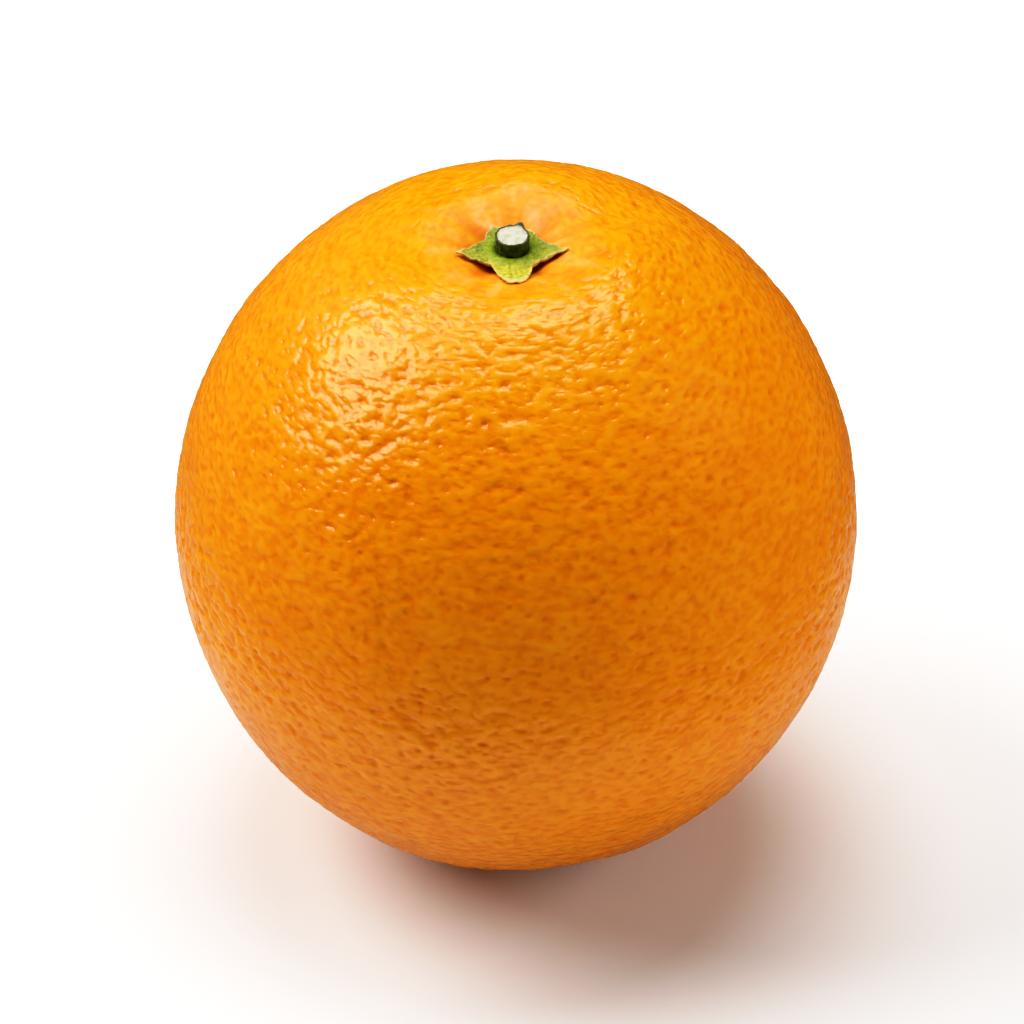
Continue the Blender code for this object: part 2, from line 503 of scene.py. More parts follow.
scar = np.where(stem_half, 0, 1 - fade(from_core, *SCAR_EDGE))
dish = np.where(stem_half, 0, DISH_DEPTH * np.exp(-((from_core / DISH_RADIUS) ** 4)))
button = np.where(stem_half, 0, BUTTON_HEIGHT * (1 - fade(from_core, *BUTTON_EDGE)))
crackle = CRACKLE_HEIGHT * folds(body, CRACKLE_SIZE, CRACKLE_SEED, CRACKLE_ROUNDING) * scar

relief = (lumps + lopsided) * away_from_stem + shoulders + fold_height * (1 - scar) + pits * (1 - scar)
relief += button + crackle - furrow_depth - well - dish
peel_points = body + ways * relief[:, None]
peel_points[:, 2] = np.maximum(peel_points[:, 2], FOOT)
print("relief from", round(relief.min() / MM, 2), "to", round(relief.max() / MM, 2), "mm")


# %% [markdown]
# ## The peel as a mesh
#
# The map leaves one small ring of open edges at the blossom end, where the last triangles meet. It is
# filled with a fan. A filled face can point inwards, so the normals are made to agree before the mesh is
# used.

# %% Make the peel
def make_mesh(name, points, faces):
    """A mesh from its points and faces, without any faulty face."""
    mesh = bpy.data.meshes.new(name)
    mesh.from_pydata(points, [], faces)
    mesh.validate()
    return mesh


def add_piece(name, mesh):
    """Puts a mesh in the scene as a smooth-shaded object."""
    mesh.shade_smooth()
    piece = bpy.data.objects.new(name, mesh)
    bpy.context.scene.collection.objects.link(piece)
    return piece


peel_mesh = make_mesh("peel", peel_points, triangles.tolist())
shaping = bmesh.new()
shaping.from_mesh(peel_mesh)
open_edges = [edge for edge in shaping.edges if edge.is_boundary]
filled = bmesh.ops.holes_fill(shaping, edges=open_edges, sides=0)["faces"]
bmesh.ops.triangulate(shaping, faces=filled)
bmesh.ops.recalc_face_normals(shaping, faces=shaping.faces)
shaping.to_mesh(peel_mesh)
shaping.free()
peel = add_piece("peel", peel_mesh)
print("open edges closed:", len(open_edges))
print("peel:", len(peel_mesh.vertices), "points,", len(peel_mesh.polygons), "faces")

# %% [markdown]
# Two colour marks round the stem have no height of their own. Between some furrows the skin is paler, and
# thin streaks run outwards from the stem. A streak could be drawn by hand, but noise does it too when it is
# read from a map that changes quickly round the stem and slowly away from it.

# %% Pale patches and streaks
PALE_PATCHES = (
    # direction in degrees, half width in degrees, reach from the core
    (119, 6, 11.0 * MM),
    (65, 10, 10.5 * MM),
    (14, 7, 8.0 * MM),
)
PATCH_WANDER = 1.5
PATCH_FADES_FROM = 0.5
PALE_MEAN = 0.75
PALE_CHANGE = 0.9
PALE_SIZE = 0.8 * MM
PALE_SEED = 15
SPOKES_OF_NOISE = 5
SPOKE_LENGTH = 5 * MM
STREAK_LAYERS = (
    # how much finer, seed, share
    (1, 16, 1.0),
    (3, 17, 0.5),
)
STREAKS_END = (8 * MM, 15 * MM)

pale = np.zeros(len(body))
for degrees, half_width, reach in PALE_PATCHES:
    off = np.degrees(turned_from(turn + PATCH_WANDER * wander, degrees))
    patch = np.exp(-(off / half_width) ** 4) * (1 - fade(from_core, PATCH_FADES_FROM * reach, reach))
    pale = np.maximum(pale, patch * stem_half)
pale *= PALE_MEAN + PALE_CHANGE * swell(body, PALE_SIZE, PALE_SEED)
round_stem = np.column_stack([SPOKES_OF_NOISE * np.cos(turn), SPOKES_OF_NOISE * np.sin(turn),
                              from_core / SPOKE_LENGTH])
streak = sum(share * swell(finer * round_stem, 1, seed) for finer, seed, share in STREAK_LAYERS)
streak *= stem_half * (1 - fade(from_core, *STREAKS_END))
print("points in a pale patch:", int((pale > 0.5).sum()))

# %% [markdown]
# The shares worked out above stay with the mesh as named attributes, one number for each point, so that the
# material can colour a pit, a crest or a furrow exactly where the shape has it. Much of that colour is
# painted
# light and shade: crests painted lighter, and hollows, pits and furrows painted deeper, the pits also in the
# glands' own tone.

# %% Keep the shares for the material
PIT_COUNTS = 2
WHOLE_PIT = 0.16 * MM
WHOLE_FURROW = 0.5 * MM
MOST_PIT = 1.5
LOWEST_CREST = -0.5
CRESTS_AT_STEM = 0.35
DULL_END = (6 * MM, 13 * MM)
PAINTED_LIGHT_ON_TOP = (0.62, 0.96)


def store(mesh, name, values):
    """Keeps one number for each point of a mesh, for its material to read."""
    layer = mesh.attributes.new(name, "FLOAT", "POINT")
    layer.data.foreach_set("value", np.asarray(values, np.float32))


# A pit's colour is the gland's own deeper tone and painted shade together, deeper where the pit is deeper.
shade_of_pit = (bowl * bowl_depth[owner] + pit * PIT_COUNTS * pit_depth[owner]).sum(axis=1)
shade_of_pit = shade_of_pit / WHOLE_PIT * open_pit
flat_at_stem = CRESTS_AT_STEM + (1 - CRESTS_AT_STEM) * away_from_stem
store(peel_mesh, "pit", np.clip(shade_of_pit * (1 - scar), 0, MOST_PIT))
# Painted light and shade: the crests of the folds are painted lighter and their hollows deeper.
store(peel_mesh, "crest", np.clip(fold, LOWEST_CREST, 1) * flat_at_stem * (1 - scar))
# A furrow is coloured deeper as painted shade, more where it is deeper.
store(peel_mesh, "furrow", furrow * np.clip(furrow_depth / WHOLE_FURROW, 0, 1))
store(peel_mesh, "streak", streak)
store(peel_mesh, "pale", np.clip(pale, 0, 1))
store(peel_mesh, "dull", np.where(stem_half, 1 - fade(from_core, *DULL_END), 0))
# Painted light: a share that grows towards the top, where the fruit is painted yellower as if lit from above.
store(peel_mesh, "painted_light_on_top", fade(ways[:, 2], *PAINTED_LIGHT_ON_TOP))
store(peel_mesh, "scar", scar)
layer = peel_mesh.attributes.new("skin", "FLOAT_VECTOR", "POINT")
layer.data.foreach_set("vector", skin_map(ways).astype(np.float32).ravel())
print("kept on the peel:", [layer.name for layer in peel_mesh.attributes if not layer.name.startswith(".")])

# %% [markdown]
# ## Helpers for the materials
#
# A material is a small chain of nodes. These helpers add one node, or one link, in a single line each, so
# that the cells below read as a recipe.

# %% Node helpers
def new_material(name):
    """A material, its nodes and its Principled shader."""
    material = bpy.data.materials.new(name)
    material.use_nodes = True
    return material, material.node_tree, material.node_tree.nodes["Principled BSDF"]


def feed(tree, socket, value):
    """Sets a socket from a number, a colour or another node's socket."""
    if isinstance(value, bpy.types.NodeSocket):
        tree.links.new(value, socket)
    elif isinstance(value, tuple):
        socket.default_value = (*value, 1.0)
    else:
        socket.default_value = value


def add_node(tree, kind, **settings):
    """A new node with these settings."""
    node = tree.nodes.new(kind)
    for key, value in settings.items():
        setattr(node, key, value)
    return node


def attribute(tree, name, output="Fac"):
    """What was kept on the mesh under this name."""
    return add_node(tree, "ShaderNodeAttribute", attribute_name=name).outputs[output]


def object_place(tree):
    """The place of each point, in the piece's own metres."""
    return add_node(tree, "ShaderNodeTexCoord").outputs["Object"]


print("materials so far:", len(bpy.data.materials))

# %% [markdown]
# The next helpers work on values and colours: a sum, a range turned into another range, a blend of two
# colours and a bump. A bump only changes how light falls on the surface, so it is kept for detail too small
# for the mesh.

# %% Helpers for values and colours
SHARE_IN, FIRST_COLOUR, SECOND_COLOUR, COLOUR_OUT = 0, 6, 7, 2


def calculate(tree, operation, first, second=0.0):
    """One sum of two values."""
    node = add_node(tree, "ShaderNodeMath", operation=operation)
    feed(tree, node.inputs[0], first)
    feed(tree, node.inputs[1], second)
    return node.outputs[0]


def weaken(tree, share, most):
    """The same share, with `most` where it was 1."""
    return calculate(tree, "MULTIPLY", share, most)


def between(tree, value, low, high, new_low=0.0, new_high=1.0):
    """Turns the range low to high into new_low to new_high, with soft ends."""
    node = add_node(tree, "ShaderNodeMapRange", interpolation_type="SMOOTHSTEP")
    for name, number in (("Value", value), ("From Min", low), ("From Max", high),
                         ("To Min", new_low), ("To Max", new_high)):
        feed(tree, node.inputs[name], number)
    return node.outputs["Result"]


def blend(tree, share, first, second):
    """A colour that goes from the first to the second as the share goes from 0 to 1."""
    node = add_node(tree, "ShaderNodeMix", data_type="RGBA")
    for index, value in ((SHARE_IN, share), (FIRST_COLOUR, first), (SECOND_COLOUR, second)):
        feed(tree, node.inputs[index], value)
    return node.outputs[COLOUR_OUT]


def paint(tree, colour, coats):
    """Lays colours over one another: each coat is a share and the colour it brings."""
    for share, coat in coats:
        colour = blend(tree, share, colour, coat)
    return colour


def bump(tree, height, depth):
    """Turns a height from 0 to 1 into a normal. The depth is how high 1 stands, in metres."""
    node = add_node(tree, "ShaderNodeBump")
    node.inputs["Distance"].default_value = depth
    tree.links.new(height, node.inputs["Height"])
    return node.outputs["Normal"]


print("helpers:", [helper.__name__ for helper in (calculate, weaken, between, blend, paint, bump)])

# %% [markdown]
# ## Effects that several finishes share
#
# Blotches, specks and fine grain are on the peel, on the calyx and on the cut stem alike, only larger or
# smaller. Each is built once, as a node group with named inputs, and placed in each material with that
# material's values. A group's sockets belong to its interface, and the two group nodes inside it hand the
# values in and out.


# %% Helpers for node groups
NOISE_ROUGHNESS = 0.6
FLOAT = "NodeSocketFloat"
PLACE = ("NodeSocketVector", None)


def new_group(name, inputs, output):
    """An empty group with these inputs (name: kind, starting value) and one output."""
    group = bpy.data.node_groups.new(name, "ShaderNodeTree")
    for label, (kind, value) in inputs.items():
        socket = group.interface.new_socket(label, in_out="INPUT", socket_type=kind)
        if value is not None:
            socket.default_value = value
    group.interface.new_socket(output, in_out="OUTPUT", socket_type=FLOAT)
    return group, group.nodes.new("NodeGroupInput").outputs, group.nodes.new("NodeGroupOutput").inputs


def noise_node(tree, place, scale, detail):
    """Cloudy noise from 0 to 1."""
    node = add_node(tree, "ShaderNodeTexNoise")
    for label, value in (("Vector", place), ("Scale", scale), ("Detail", detail)):
        feed(tree, node.inputs[label], value)
    node.inputs["Roughness"].default_value = NOISE_ROUGHNESS
    return node.outputs["Fac"]


def use(tree, group, **values):
    """Places a group in a material with its own values and hands back its output."""
    node = add_node(tree, "ShaderNodeGroup", node_tree=group)
    for label, value in values.items():
        feed(tree, node.inputs[label], value)
    return node.outputs[0]


print("groups so far:", len(bpy.data.node_groups))

# %% [markdown]
# Blotches are soft clouds. Low and High say which part of the noise is the edge of a cloud: close together
# they give a crisp edge, and far apart a faint one.

# %% The blotches group
CLOUD_DETAIL = 3.0
blotches, given, out = new_group("blotches", {
    "Place": PLACE, "Scale": (FLOAT, 100.0), "Low": (FLOAT, 0.35), "High": (FLOAT, 0.65)}, "Mask")
cloud = noise_node(blotches, given["Place"], given["Scale"], CLOUD_DETAIL)
blotches.links.new(between(blotches, cloud, given["Low"], given["High"]), out["Mask"])
print("blotches:", len(blotches.nodes), "nodes")

# %% [markdown]
# Specks are small round dots. A Voronoi texture gives every cell a distance from its own point, which makes
# the dot, and a random colour, which decides whether that cell gets a dot at all.

# %% The specks group
specks, given, out = new_group("specks", {
    "Place": PLACE, "Scale": (FLOAT, 1000.0), "Size": (FLOAT, 0.3), "Sparse": (FLOAT, 0.5)}, "Mask")
dots = add_node(specks, "ShaderNodeTexVoronoi")
specks.links.new(given["Place"], dots.inputs["Vector"])
specks.links.new(given["Scale"], dots.inputs["Scale"])
dot = calculate(specks, "SUBTRACT", 1.0, between(specks, dots.outputs["Distance"], 0.0, given["Size"]))
split = add_node(specks, "ShaderNodeSeparateColor")
specks.links.new(dots.outputs["Color"], split.inputs["Color"])
chosen = calculate(specks, "GREATER_THAN", split.outputs["Red"], given["Sparse"])
specks.links.new(calculate(specks, "MULTIPLY", dot, chosen), out["Mask"])
print("specks:", len(specks.nodes), "nodes")

# %% [markdown]
# Fine grain is a height. Folded turns it from rounded grains (0) to thin crests (1) by the same trick as
# the wrinkles: one minus the size of the noise.

# %% The fine grain group
NOISE_MIDDLE = 0.5
CREST_SHARPNESS = 4.0
grain, given, out = new_group("fine_grain", {
    "Place": PLACE, "Scale": (FLOAT, 2000.0), "Detail": (FLOAT, 2.0), "Folded": (FLOAT, 0.0)}, "Height")
soft = noise_node(grain, given["Place"], given["Scale"], given["Detail"])
off_middle = calculate(grain, "ABSOLUTE", calculate(grain, "SUBTRACT", soft, NOISE_MIDDLE))
crests = calculate(grain, "SUBTRACT", 1.0, calculate(grain, "MULTIPLY", off_middle, CREST_SHARPNESS))
mixed = add_node(grain, "ShaderNodeMix")
feed(grain, mixed.inputs["Factor"], given["Folded"])
feed(grain, mixed.inputs["A"], soft)
feed(grain, mixed.inputs["B"], crests)
grain.links.new(mixed.outputs["Result"], out["Height"])
print("groups:", [group.name for group in bpy.data.node_groups])

# %% [markdown]
# ## The peel's colour
#
# An orange isn't one orange. It wanders between a yellower and a deeper tone over a centimetre or so. Some
# coats are painted light and shade: the top is painted yellower as if lit from above, crests of the folds
# are painted lighter with a painted sheen on the finest ones, their hollows deeper, a fine darker mottling
# is painted shade of small dimples, the pits are deeper in the glands' own tone and in painted shade, and
# the furrows are painted deeper as shade. Near the stem there are streaks and pale patches, and a few brown
# dots are scattered anywhere. Each of these is one coat of colour, laid over the ones before it with its own
# share, as a painter would glaze them.

# %% The colours and the fine patterns
ORANGE = (0.80, 0.285, 0.006)
YELLOWER = (0.84, 0.350, 0.010)
DEEPER = (0.74, 0.210, 0.003)
HOLLOW = (0.69, 0.155, 0.001)
FURROW = (0.62, 0.150, 0.002)
# The colour below is laid on the crests of the fine folds as a painted sheen.
PAINTED_SHEEN = (0.86, 0.37, 0.03)
PALE = (0.86, 0.40, 0.16)
BROWN = (0.40, 0.12, 0.008)
SCAR = (0.20, 0.095, 0.028)

peel_material, tree, shader = new_material("orange_peel")
place = object_place(tree)
skin_place = attribute(tree, "skin", "Vector")
crest = attribute(tree, "crest")
streak = attribute(tree, "streak")
wide = use(tree, blotches, Place=place, Scale=1 / (11 * MM), Low=0.33, High=0.67)
narrow = use(tree, blotches, Place=skin_place, Scale=1 / (1.5 * MM), Low=0.38, High=0.66)
small_folds = use(tree, grain, Place=skin_place, Scale=1 / (1.2 * MM), Detail=0.5, Folded=0.10)
brown_dots = use(tree, specks, Place=place, Scale=1 / (5 * MM), Size=0.14, Sparse=0.72)
print("nodes for the patterns:", len(tree.nodes))

# %% [markdown]
# The coats go on in this order. A linear share is only weakened to its strength. A share that should have a
# soft start and end is given the value where it starts, the value where it is whole, and its strength
# there.

# %% Lay the coats of colour
colour = paint(tree, ORANGE, (
    (weaken(tree, wide, 0.35), YELLOWER),
    # Painted light: the top of the fruit is painted yellower.
    (weaken(tree, attribute(tree, "painted_light_on_top"), 0.85), YELLOWER),
    # Painted shade: a fine darker mottling that stands for the shading of small dimples.
    (weaken(tree, narrow, 0.26), DEEPER),
    # Painted shade in the hollows of the folds and painted light on their crests.
    (between(tree, crest, 0.45, -0.35, 0.0, 0.38), DEEPER),
    (between(tree, crest, 0.50, 0.9, 0.0, 0.55), YELLOWER),
    # Painted shade in the hollows of the fine folds and a painted sheen on their crests, from the same noise
    # as the bump.
    (between(tree, small_folds, 0.60, 0.30, 0.0, 0.27), HOLLOW),
    (between(tree, small_folds, 0.52, 0.75, 0.0, 0.30), PAINTED_SHEEN),
    # The glands' own deeper tone, with painted shade in the pits.
    (weaken(tree, attribute(tree, "pit"), 0.40), HOLLOW),
    (between(tree, streak, 0.05, 0.55, 0.0, 0.60), DEEPER),
    (between(tree, streak, -0.10, -0.55, 0.0, 0.35), PALE),
    # Painted shade in the furrows round the stem.
    (weaken(tree, attribute(tree, "furrow"), 0.85), FURROW),
    (weaken(tree, attribute(tree, "pale"), 0.75), PALE),
    (weaken(tree, brown_dots, 0.40), BROWN),
    (attribute(tree, "scar"), SCAR),
))
tree.links.new(colour, shader.inputs["Base Color"])
print("nodes with the colours:", len(tree.nodes))

# %% [markdown]
# ## The peel's gloss
#
# The gloss is a thin natural wax: a moderate roughness that varies, over small folds and pores too fine for
# the mesh. Near the stem the skin is matt and drawn smooth. The skin also lets light in a little way, which
# takes the hardness off the shadows in the pits, so the material has some subsurface scattering.

# %% Give the peel its gloss
FINE_RELIEF = 0.21 * MM
PORE_SIZE = 0.25 * MM
PORE_SHARE = 0.04
RELIEF_AT_STEM = 0.4
WIDE_IN_DULL = 0.15
WAX_ROUGHNESS = 0.21
MATT_ROUGHNESS = 0.62

pores = use(tree, grain, Place=place, Scale=1 / PORE_SIZE, Folded=0.0)
height = calculate(tree, "ADD", small_folds, weaken(tree, pores, PORE_SHARE))
flatter = between(tree, attribute(tree, "dull"), 0.0, 1.0, 1.0, RELIEF_AT_STEM)
height = calculate(tree, "MULTIPLY", height, flatter)
tree.links.new(bump(tree, height, FINE_RELIEF), shader.inputs["Normal"])
dull = calculate(tree, "ADD", attribute(tree, "dull"), weaken(tree, wide, WIDE_IN_DULL))
tree.links.new(between(tree, dull, 0.0, 1.0, WAX_ROUGHNESS, MATT_ROUGHNESS), shader.inputs["Roughness"])
shader.inputs["Specular IOR Level"].default_value = 0.42
shader.inputs["Subsurface Weight"].default_value = 0.15
shader.inputs["Subsurface Radius"].default_value = (1.0, 0.35, 0.1)
shader.inputs["Subsurface Scale"].default_value = 1.2 * MM
peel_mesh.materials.append(peel_material)
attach(peel, "root")
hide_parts("fruit")
print("nodes in the peel's material:", len(tree.nodes))

# %% [markdown]
# ## The calyx
#
# The calyx is the little green star that held the flower. It has five lobes, and picking and drying have
# left each one different: a blunt tongue in front, two long points at the sides, two short ones behind. A
# round plate could be cut to this outline, but the lobes also bridge the hollow of the fruit, thin out
# towards their edges and curl. So it is one closed skin instead: spokes run out from the stem, each spoke
# ends on the outline, and a cross-section goes out along the top, round the edge and back underneath.
#
# The outline comes first. On either side of a lobe's tip its half width falls off to nothing, and how
# quickly makes the lobe blunt or pointed. Where a spoke leaves that width is found by halving the gap again
# and again.

# %% The outline of the five lobes
LOBES = (
    # direction in degrees, tip from the core, pointedness (under 1 is blunt), lean sideways, rise of the tip
    (-87.0, 7.8 * MM, 0.33, 0.30 * MM, 0.12 * MM),
    (-8.0, 6.5 * MM, 1.15, 0.05 * MM, 0.05 * MM),
    (60.0, 4.3 * MM, 0.80, 0.0, 0.0),
    (120.0, 4.7 * MM, 0.80, 0.0, 0.0),
    (193.5, 6.6 * MM, 1.05, 0.10 * MM, 0.05 * MM),
)
NOTCHES = (
    # direction in degrees, distance from the core; one before each lobe and one after the last
    (-126.0, 4.0 * MM),
    (-55.0, 4.0 * MM),
    (32.0, 3.5 * MM),
    (92.0, 3.5 * MM),
    (152.0, 3.5 * MM),
    (234.0, 4.0 * MM),
)
SPOKES_PER_SIDE = 22
CLOSER_AT_TIP = 1.3
HALVINGS = 40


def lobe_reach(lobe, notch, degrees):
    """The outline's distance from the core in one direction, between a lobe's tip and the notch beside it."""
    direction, tip, point, lean, _ = lobe
    notch_off = math.radians(abs(notch[0] - direction))
    side = math.copysign(1, notch[0] - direction)
    off = math.radians(abs(degrees - direction))
    root = notch[1] * math.cos(notch_off)
    root_half = notch[1] * math.sin(notch_off)
    near, far = 0.0, tip
    for _ in range(HALVINGS):
        reach = (near + far) / 2
        along = max((reach * math.cos(off) - root) / (tip - root), 0.0)
        half = root_half * max(1 - along, 0.0) ** point + side * lean * along * (1 - along) * 2
        if reach * math.sin(off) > half:
            far = reach
        else:
            near = reach
    return reach


spokes = []
for index, lobe in enumerate(LOBES):
    before, after = NOTCHES[index], NOTCHES[index + 1]
    for notch, steps in ((before, range(SPOKES_PER_SIDE, 0, -1)), (after, range(SPOKES_PER_SIDE))):
        for step in steps:
            share = (step / SPOKES_PER_SIDE) ** CLOSER_AT_TIP
            degrees = lobe[0] + (notch[0] - lobe[0]) * share
            spokes.append((math.radians(degrees), lobe_reach(lobe, notch, degrees), lobe))
print("spokes:", len(spokes), " widest reach", round(max(spoke[1] for spoke in spokes) / MM, 2), "mm")

# %% [markdown]
# The cross-section is a list of steps out along a spoke, each with its side: 1 is the upper face, -1 the
# lower one, and the three steps between them turn round the edge.

# %% The calyx's cross-section
TOP_STEPS = 18
TOP_END = 0.97
CLOSER_AT_EDGE = 0.9
ROUND_THE_EDGE = ((0.99, 0.75), (1.0, 0.0), (0.99, -0.75))
UNDER_SHARES = (0.96, 0.85, 0.65, 0.45, 0.25, 0.0)
section = [(TOP_END * (step / TOP_STEPS) ** CLOSER_AT_EDGE, 1.0) for step in range(TOP_STEPS + 1)]
section += ROUND_THE_EDGE
section += [(share, -1.0) for share in UNDER_SHARES]
print("steps in the cross-section:", len(section))

# %% [markdown]
# The calyx follows the fruit, a little above it: it stands highest in a thick collar round the stem, humps
# over the hollow, and comes down close to the skin at its tips. Veins run along each lobe, slow ripples
# cross it, and the very edge curls.

# %% How high the calyx lies
HOLE = 0.88 * stub_radius
SLOPE_ROUNDS = 3
COLLAR_LIFT = 0.24 * MM
TIP_LIFT = 0.16 * MM
HUMP = 0.15 * MM
COLLAR_RADIUS = 2.35 * MM
COLLAR_HEIGHT = 0.20 * MM
COLLAR_WIDTH = 0.45 * MM
CURL = 0.14 * MM
CURL_MEAN = 0.4
CURL_SHARPNESS = 5
VEIN_HEIGHT = 0.16 * MM
VEIN_WIDTH = 0.45 * MM
VEIN_LENGTH = 3 * MM
VEINS_GROW = (0.05, 0.4)
RIPPLE_HEIGHT = 0.18 * MM
RIPPLE_SIZE = MM
RIPPLE_SEED = 4.0
RIPPLES_GROW = (0.1, 0.5)


def peel_height(radius):
    """Height of the measured fruit's upper surface at a distance from the core."""
    angle = math.atan2(radius, fruit_high.z - middle[2])
    for _ in range(SLOPE_ROUNDS):
        distance = np.interp(angle, table_angle, table_distance)
        angle = math.asin(radius / distance)
    return middle[2] + distance * math.cos(angle)


def calyx_level(angle, radius, out, lobe):
    """Height of the middle of the calyx's thickness."""
    direction, tip, _, _, rise = lobe
    along = (radius - HOLE) / (tip - HOLE)
    beside = radius * math.sin(angle - math.radians(direction))
    vein = noise.noise(Vector((beside / VEIN_WIDTH, direction, radius / VEIN_LENGTH)))
    flat = (radius * math.cos(angle) / RIPPLE_SIZE, radius * math.sin(angle) / RIPPLE_SIZE)
    ripple = noise.noise(Vector((*flat, RIPPLE_SEED)))
    level = peel_height(radius) + COLLAR_LIFT + (TIP_LIFT + rise - COLLAR_LIFT) * along
    level += HUMP * math.sin(math.pi * min(along, 1.0))
    level += COLLAR_HEIGHT * math.exp(-((radius - COLLAR_RADIUS) / COLLAR_WIDTH) ** 2)
    level += CURL * out ** CURL_SHARPNESS * (CURL_MEAN + ripple)
    veins = VEIN_HEIGHT * vein * fade(along, *VEINS_GROW)
    return level + veins + RIPPLE_HEIGHT * ripple * fade(along, *RIPPLES_GROW)


print("the fruit under the calyx's tips is at", round(peel_height(LOBES[0][1]) / MM, 1), "mm")

# %% [markdown]
# Each step of the cross-section now makes one ring of points, one point on every spoke. Four shares are
# kept for the colours: how near the edge a point is, how near the stem, how near the dry tip of its lobe,
# and how far it is on the front lobe, which has faded the most.

# %% Shape the calyx
THICK_AT_STEM = 0.42 * MM
THICK_AT_EDGE = 0.15 * MM
THIN_FROM = 5 * MM
EDGE_BAND = (0.84, 0.99)
STEM_BAND = (2.2 * MM, 4.6 * MM)
FRONT_WAY = math.radians(-87)
FRONT_BAND = (2.4 * MM, 4 * MM)

calyx_points = []
near_edge = []
near_stem = []
dryness = []
frontness = []
for out, side in section:
    for angle, edge, lobe in spokes:
        radius = HOLE + (edge - HOLE) * out
        thick = THICK_AT_STEM + (THICK_AT_EDGE - THICK_AT_STEM) * fade(radius, COLLAR_RADIUS, THIN_FROM)
        level = calyx_level(angle, radius, out, lobe) + side * thick
        calyx_points.append((radius * math.cos(angle), radius * math.sin(angle), level))
        near_edge.append(fade(out, *EDGE_BAND))
        near_stem.append(1 - fade(radius, *STEM_BAND))
        dryness.append(fade(radius, EDGE_BAND[0] * lobe[1], EDGE_BAND[1] * lobe[1]))
        facing_front = 0.5 + 0.5 * math.cos(angle - FRONT_WAY)
        frontness.append(facing_front ** 2 * fade(radius, *FRONT_BAND))
print("calyx:", len(calyx_points), "points")

# %% [markdown]
# Faces join each ring to the next one, and the last ring to the first, so the skin has no open edge.

# %% Close the calyx's skin
calyx_faces = []
for ring in range(len(section)):
    following = (ring + 1) % len(section)
    for spoke in range(len(spokes)):
        beside = (spoke + 1) % len(spokes)
        calyx_faces.append((ring * len(spokes) + spoke, following * len(spokes) + spoke,
                            following * len(spokes) + beside, ring * len(spokes) + beside))
calyx_mesh = make_mesh("calyx_star", calyx_points, calyx_faces)
store(calyx_mesh, "edge", near_edge)
store(calyx_mesh, "stem", near_stem)
store(calyx_mesh, "dry", dryness)
store(calyx_mesh, "front", frontness)
calyx = add_piece("calyx_star", calyx_mesh)
print("calyx:", len(calyx_faces), "faces")

# %% [markdown]
# ## The calyx's colour
#
# A calyx fades from a fresh green at the stem to straw at its tips, and it is freckled all over. The shares
# kept on the mesh say where the stem, the edge and the tips are, and the shared blotches and specks break
# them up.

# %% Finish the calyx
FRESH = (0.30, 0.37, 0.012)
LEAF = (0.31, 0.36, 0.055)
STRAW = (0.66, 0.52, 0.24)
FADED = (0.66, 0.56, 0.070)
FRECKLE = (0.10, 0.13, 0.010)
FIBRE_SIZE = 0.35 * MM
FIBRE_RELIEF = 0.10 * MM

calyx_material, tree, shader = new_material("green_calyx")
place = object_place(tree)
cloudy = use(tree, blotches, Place=place, Scale=1 / (1.3 * MM), Low=0.35, High=0.65)
freckles = use(tree, specks, Place=place, Scale=1 / (0.62 * MM), Size=0.42, Sparse=0.35)
spotted = use(tree, blotches, Place=place, Scale=1 / (0.38 * MM), Low=0.42, High=0.68)
less_on_spots = between(tree, spotted, 0.0, 1.0, 0.75, 0.15)
uneven_edge = calculate(tree, "MULTIPLY", attribute(tree, "edge"), less_on_spots)
colour = paint(tree, LEAF, (
    (attribute(tree, "stem"), FRESH),
    (weaken(tree, attribute(tree, "front"), 0.9), FADED),
    (weaken(tree, cloudy, 0.35), FRECKLE),
    (weaken(tree, spotted, 0.50), FRECKLE),
    (weaken(tree, freckles, 0.70), FRECKLE),
    (uneven_edge, STRAW),
    (weaken(tree, attribute(tree, "dry"), 0.8), STRAW),
))
tree.links.new(colour, shader.inputs["Base Color"])
fibres = use(tree, grain, Place=place, Scale=1 / FIBRE_SIZE, Folded=0.5)
tree.links.new(bump(tree, fibres, FIBRE_RELIEF), shader.inputs["Normal"])
tree.links.new(between(tree, cloudy, 0.0, 1.0, 0.45, 0.65), shader.inputs["Roughness"])
shader.inputs["Subsurface Weight"].default_value = 0.10
shader.inputs["Subsurface Scale"].default_value = 0.5 * MM
calyx_mesh.materials.append(calyx_material)
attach(calyx, "root")
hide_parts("calyx")
print("nodes in the calyx's material:", len(tree.nodes))

# %% [markdown]
# ## The stub of the stem
#
# Shears leave a short green-black stub with a pale face. It could be a cylinder, but the bark stands a
# little proud round the wood, the wall is grooved, and one sliver was pushed up where the blades met. A
# ring-by-ring profile gives the wall, the lip and the sunken face, and noise round each ring gives the
# grooves.

# %% The stub's profile
STUB_RINGS = (
    # radius and height as shares of the stub's, how much of the cut face it is, how much it is lip
    (0.55, 0.00, 0, 0), (1.00, 0.00, 0, 0), (0.95, 0.14, 0, 0), (0.91, 0.28, 0, 0), (0.90, 0.42, 0, 0),
    (0.90, 0.56, 0, 0), (0.90, 0.70, 0, 0), (0.91, 0.82, 0, 0.2), (0.93, 0.91, 0, 0.7), (0.94, 0.96, 0, 1),
    (0.92, 0.995, 0, 1), (0.88, 1.00, 0, 1), (0.84, 0.99, 0.2, 0.8), (0.80, 0.968, 0.8, 0.3),
    (0.75, 0.955, 1, 0), (0.65, 0.955, 1, 0), (0.53, 0.96, 1, 0), (0.40, 0.962, 1, 0), (0.27, 0.96, 1, 0),
    (0.14, 0.955, 1, 0),
)
ROOM_OVER_LIP = 0.12 * MM
stub_foot = calyx_low.z
stub_span = stub_high.z - ROOM_OVER_LIP - stub_foot
print("rings:", len(STUB_RINGS), " from foot to lip", round(stub_span / MM, 1), "mm")

